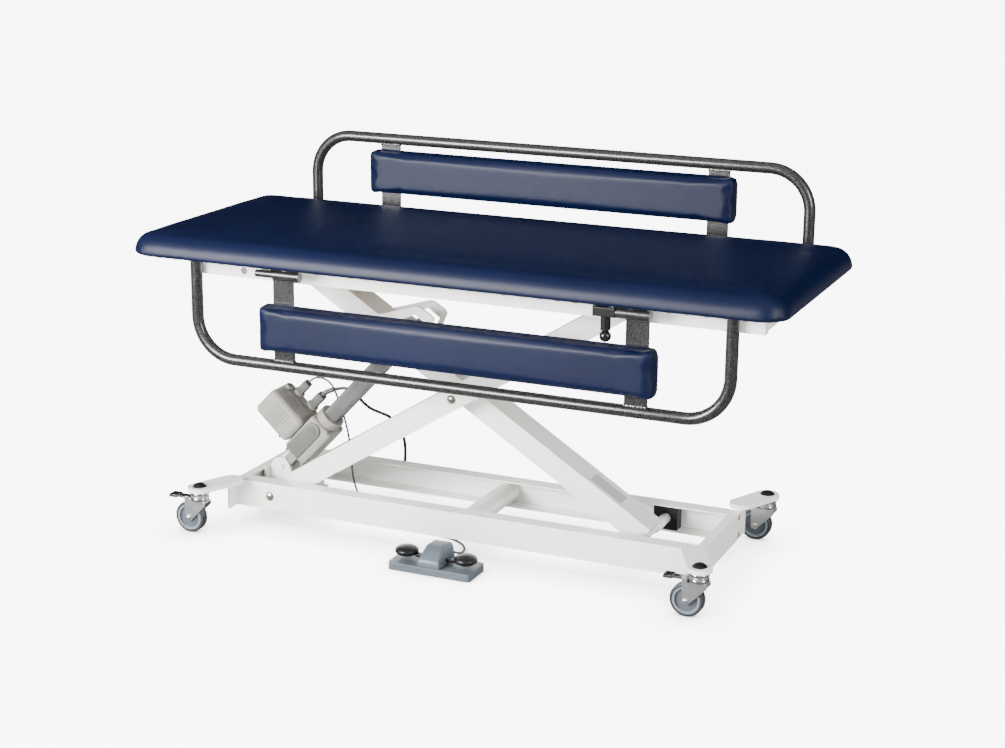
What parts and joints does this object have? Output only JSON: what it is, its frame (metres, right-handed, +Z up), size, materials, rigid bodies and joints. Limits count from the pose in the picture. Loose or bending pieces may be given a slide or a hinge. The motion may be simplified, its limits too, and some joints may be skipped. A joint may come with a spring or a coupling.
{
  "type": "height adjustable treatment table",
  "caption": "Powered hi-lo treatment and changing table: padded top on a scissor lift with linear actuator, swing-down side rails with bolsters, rolling base and foot switch.",
  "frame": {"origin": "middle of the whole table's footprint at rest, on the floor", "axes": "+X along the table's length to the end where the slide blocks run, -Y towards the side whose rail is lowered at rest, +Z up"},
  "size_m": [1.524, 0.641, 0.8734],
  "materials": {
    "frame_paint": "off-white gloss powder coat",
    "rail_hammertone": "dark silver-vein hammertone",
    "zinc": "zinc plated",
    "steel": "bright drawn steel",
    "chrome": "bright",
    "aluminium": "brushed",
    "black_nylon": "satin black",
    "vinyl": "navy upholstery vinyl, semi-gloss",
    "plywood": "plain plywood",
    "control_plastic": "light grey moulded plastic",
    "gear_plastic": "mid grey moulded plastic",
    "switch_plastic": "blue grey moulded plastic",
    "cable_grey": "grey flexible sheath",
    "cable_black": "black flexible sheath",
    "tyre_grey": "dark grey polyurethane tyre on a blue grey hub"
  },
  "bodies": {
    "base": {"base_side_channel_near": "frame_paint", "base_side_channel_far": "frame_paint", "base_end_member_left": "frame_paint", "base_end_member_right": "frame_paint", "base_cross_tube": "frame_paint", "outriggers": "frame_paint", "caster_caps": "black_nylon", "base_bolts": "zinc", "lower_pivot_shaft": "steel", "actuator_base_bracket": "frame_paint", "foot_switch_base": "switch_plastic", "foot_switch_housing": "switch_plastic", "foot_switch_cable": "cable_grey", "mains_lead": "cable_black", "mains_coil": "cable_black", "mains_plug": "cable_black"},
    "arm_a": {"arm_a_near": "frame_paint", "arm_a_far": "frame_paint", "arm_a_shafts": "steel"},
    "arm_b": {"arm_b_tube": "frame_paint", "arm_b_lower_shaft": "steel", "actuator_bracket": "frame_paint"},
    "lower_slides": {"lower_slide_blocks": "black_nylon"},
    "upper_slides": {"upper_slide_blocks": "black_nylon"},
    "top_frame": {"top_side_rail_near": "frame_paint", "top_side_rail_far": "frame_paint", "top_cross_members": "frame_paint", "upper_pivot_shaft": "steel", "deck_board": "plywood", "mattress_pad": "vinyl", "rail_hinge_brackets": "rail_hammertone", "latch_housings": "black_nylon"},
    "near_rail": {"near_rail_frame": "rail_hammertone", "near_bolster_board": "plywood", "near_bolster_pad": "vinyl"},
    "far_rail": {"far_rail_frame": "rail_hammertone", "far_bolster_board": "plywood", "far_bolster_pad": "vinyl"},
    "latch_near": {"latch_plunger_near": "black_nylon"},
    "latch_far": {"latch_plunger_far": "black_nylon"},
    "actuator_body": {"actuator_motor_housing": "gear_plastic", "actuator_control_box": "control_plastic", "actuator_collar": "control_plastic", "actuator_outer_tube": "aluminium", "cable_plugs": "gear_plastic"},
    "actuator_rod": {"actuator_rod": "steel"},
    "pedal_down": {"foot_pedal_left": "black_nylon"},
    "pedal_up": {"foot_pedal_right": "black_nylon"},
    "caster_near_left": {"caster_fork_near_left": "zinc"},
    "wheel_near_left": {"caster_wheel_near_left": "tyre_grey"},
    "brake_near_left": {"caster_pedal_near_left": "steel"},
    "caster_far_left": {"caster_fork_far_left": "zinc"},
    "wheel_far_left": {"caster_wheel_far_left": "tyre_grey"},
    "brake_far_left": {"caster_pedal_far_left": "steel"},
    "caster_near_right": {"caster_fork_near_right": "zinc"},
    "wheel_near_right": {"caster_wheel_near_right": "tyre_grey"},
    "brake_near_right": {"caster_pedal_near_right": "steel"},
    "caster_far_right": {"caster_fork_far_right": "zinc"},
    "wheel_far_right": {"caster_wheel_far_right": "tyre_grey"},
    "brake_far_right": {"caster_pedal_far_right": "steel"}
  },
  "joints": [
    {"name": "arm_a_lift", "type": "hinge", "parent": "base", "child": "arm_a", "pos_m": [-0.497, -0.015, 0.07125], "axis": [0, -1, 0], "range_deg": [-14.6, 15.9]},
    {"name": "scissor_crossing", "type": "hinge", "parent": "arm_a", "child": "arm_b", "pos_m": [-0.05, -0.015, 0.35163], "axis": [0, -1, 0], "range_deg": [-32.3, 29.7]},
    {"name": "top_frame_pivot", "type": "hinge", "parent": "arm_b", "child": "top_frame", "pos_m": [-0.497, -0.015, 0.632], "axis": [0, -1, 0], "range_deg": [-15.1, 16.4]},
    {"name": "lower_slide_pivot", "type": "hinge", "parent": "arm_b", "child": "lower_slides", "pos_m": [0.397, -0.015, 0.07125], "axis": [0, -1, 0], "range_deg": [-15.1, 16.4]},
    {"name": "upper_slide_pivot", "type": "hinge", "parent": "arm_a", "child": "upper_slides", "pos_m": [0.397, -0.015, 0.632], "axis": [0, -1, 0], "range_deg": [-16.4, 15.1]},
    {"name": "actuator_tilt", "type": "hinge", "parent": "base", "child": "actuator_body", "pos_m": [-0.532, -0.015, 0.106], "axis": [0, -1, 0], "range_deg": [-14.08, 15.29], "deforming": ["foot_switch_cable", "mains_lead"]},
    {"name": "actuator_extend", "type": "slide", "parent": "actuator_body", "child": "actuator_rod", "axis": [0.6821, 0, 0.7313], "range_m": [-0.07859, 0.0855]},
    {"name": "near_rail_swing", "type": "hinge", "parent": "top_frame", "child": "near_rail", "pos_m": [-0.012, -0.3, 0.6435], "axis": [-1, 0, 0], "range_deg": [0, 180]},
    {"name": "far_rail_swing", "type": "hinge", "parent": "top_frame", "child": "far_rail", "pos_m": [-0.012, 0.27, 0.6435], "axis": [-1, 0, 0], "range_deg": [0, 180]},
    {"name": "latch_near_pull", "type": "slide", "parent": "top_frame", "child": "latch_near", "axis": [0, 0, -1], "range_m": [0, 0.007], "stiffness_N_per_m": 400, "springref_m": -0.004},
    {"name": "latch_far_pull", "type": "slide", "parent": "top_frame", "child": "latch_far", "axis": [0, 0, -1], "range_m": [0, 0.007], "stiffness_N_per_m": 400, "springref_m": -0.004},
    {"name": "pedal_down_press", "type": "slide", "parent": "base", "child": "pedal_down", "axis": [0, 0, -1], "range_m": [0, 0.004], "stiffness_N_per_m": 800, "springref_m": -0.003},
    {"name": "pedal_up_press", "type": "slide", "parent": "base", "child": "pedal_up", "axis": [0, 0, -1], "range_m": [0, 0.004], "stiffness_N_per_m": 800, "springref_m": -0.003},
    {"name": "caster_swivel_near_left", "type": "hinge", "parent": "base", "child": "caster_near_left", "pos_m": [-0.619, -0.27, 0.09], "axis": [0, 0, 1], "continuous": true},
    {"name": "wheel_roll_near_left", "type": "hinge", "parent": "caster_near_left", "child": "wheel_near_left", "pos_m": [-0.643, -0.27, 0.0375], "axis": [0, 1, 0], "continuous": true},
    {"name": "brake_pedal_near_left", "type": "hinge", "parent": "caster_near_left", "child": "brake_near_left", "pos_m": [-0.6465, -0.27, 0.0845], "axis": [0, -1, 0], "range_deg": [0, 8]},
    {"name": "caster_swivel_far_left", "type": "hinge", "parent": "base", "child": "caster_far_left", "pos_m": [-0.619, 0.24, 0.09], "axis": [0, 0, 1], "continuous": true},
    {"name": "wheel_roll_far_left", "type": "hinge", "parent": "caster_far_left", "child": "wheel_far_left", "pos_m": [-0.643, 0.24, 0.0375], "axis": [0, 1, 0], "continuous": true},
    {"name": "brake_pedal_far_left", "type": "hinge", "parent": "caster_far_left", "child": "brake_far_left", "pos_m": [-0.6465, 0.24, 0.0845], "axis": [0, -1, 0], "range_deg": [0, 8]},
    {"name": "caster_swivel_near_right", "type": "hinge", "parent": "base", "child": "caster_near_right", "pos_m": [0.595, -0.27, 0.09], "axis": [0, 0, 1], "continuous": true},
    {"name": "wheel_roll_near_right", "type": "hinge", "parent": "caster_near_right", "child": "wheel_near_right", "pos_m": [0.571, -0.27, 0.0375], "axis": [0, 1, 0], "continuous": true},
    {"name": "brake_pedal_near_right", "type": "hinge", "parent": "caster_near_right", "child": "brake_near_right", "pos_m": [0.5675, -0.27, 0.0845], "axis": [0, -1, 0], "range_deg": [0, 8]},
    {"name": "caster_swivel_far_right", "type": "hinge", "parent": "base", "child": "caster_far_right", "pos_m": [0.595, 0.24, 0.09], "axis": [0, 0, 1], "continuous": true},
    {"name": "wheel_roll_far_right", "type": "hinge", "parent": "caster_far_right", "child": "wheel_far_right", "pos_m": [0.571, 0.24, 0.0375], "axis": [0, 1, 0], "continuous": true},
    {"name": "brake_pedal_far_right", "type": "hinge", "parent": "caster_far_right", "child": "brake_far_right", "pos_m": [0.5675, 0.24, 0.0845], "axis": [0, -1, 0], "range_deg": [0, 8]}
  ],
  "couplings": [
    {"joint": "scissor_crossing", "follows": "arm_a_lift", "ratio": -2},
    {"joint": "top_frame_pivot", "follows": "arm_a_lift", "ratio": 1},
    {"joint": "lower_slide_pivot", "follows": "arm_a_lift", "ratio": 1},
    {"joint": "upper_slide_pivot", "follows": "arm_a_lift", "ratio": -1},
    {"joint": "actuator_tilt", "follows": "arm_a_lift", "ratio": 0.93},
    {"joint": "actuator_extend", "follows": "arm_a_lift", "m_per_rad": 0.3045}
  ]
}
